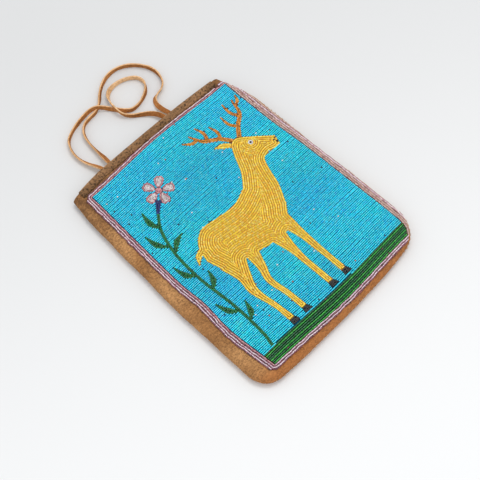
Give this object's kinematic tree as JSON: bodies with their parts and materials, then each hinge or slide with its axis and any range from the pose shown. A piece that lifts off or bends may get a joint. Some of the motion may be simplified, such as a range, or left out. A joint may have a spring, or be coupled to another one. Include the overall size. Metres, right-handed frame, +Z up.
{
  "type": "beaded medicine bag",
  "caption": "Flat hide bag with a fully beaded front, an open pocket, folded hide strips along the mouth and two hide thongs as carrying loops.",
  "frame": {"origin": "under the middle of the bag, on the surface that it lies on", "axes": "+Y runs up the bag to its mouth, +X across it to the right, +Z up out of the beaded face"},
  "size_m": [0.2319, 0.3715, 0.013],
  "materials": {
    "tan_hide": "suede, tan brown, mottled",
    "brown_hide": "suede, darker brown, worn",
    "thong_hide": "cut hide strip, pale edges",
    "turquoise_beads": "glossy opaque glass beads",
    "gold_beads": "glossy opaque glass beads",
    "amber_beads": "glossy glass beads",
    "black_beads": "glossy opaque glass beads",
    "pink_beads": "glossy opaque glass beads, with white and wine rows",
    "petal_beads": "glossy opaque glass beads",
    "navy_beads": "glossy opaque glass beads",
    "green_beads": "glossy glass beads",
    "leaf_beads": "glossy glass beads"
  },
  "bodies": {
    "root": {"back_panel": "tan_hide", "front_panel": "tan_hide", "mouth_binding_back": "brown_hide", "mouth_binding_front": "brown_hide", "bead_ground": "turquoise_beads", "border_left": "pink_beads", "border_right": "pink_beads", "border_top": "pink_beads", "border_bottom": "pink_beads", "grass_dark": "green_beads", "grass_bright": "leaf_beads", "stag_body": "gold_beads", "stag_neck_and_head": "gold_beads", "stag_ear": "gold_beads", "stag_tail": "gold_beads", "stag_eye": "black_beads", "hind_leg_near": "gold_beads", "hind_leg_far": "gold_beads", "fore_leg_near": "gold_beads", "fore_leg_far": "gold_beads", "hind_hoof_near": "black_beads", "hind_hoof_far": "black_beads", "fore_hoof_near": "black_beads", "fore_hoof_far": "black_beads", "antler_left": "amber_beads", "antler_right": "amber_beads", "petal_1": "petal_beads", "petal_2": "petal_beads", "petal_3": "petal_beads", "petal_4": "petal_beads", "petal_5": "petal_beads", "flower_heart": "pink_beads", "calyx": "navy_beads", "stem": "leaf_beads", "leaf_1": "green_beads", "leaf_2": "green_beads", "leaf_3": "green_beads", "leaf_4": "green_beads", "leaf_5": "green_beads", "leaf_6": "green_beads", "leaf_7": "green_beads", "thong_inner": "thong_hide", "thong_outer": "thong_hide", "thong_tab_left": "brown_hide", "thong_tab_right": "brown_hide"}
  },
  "joints": []
}
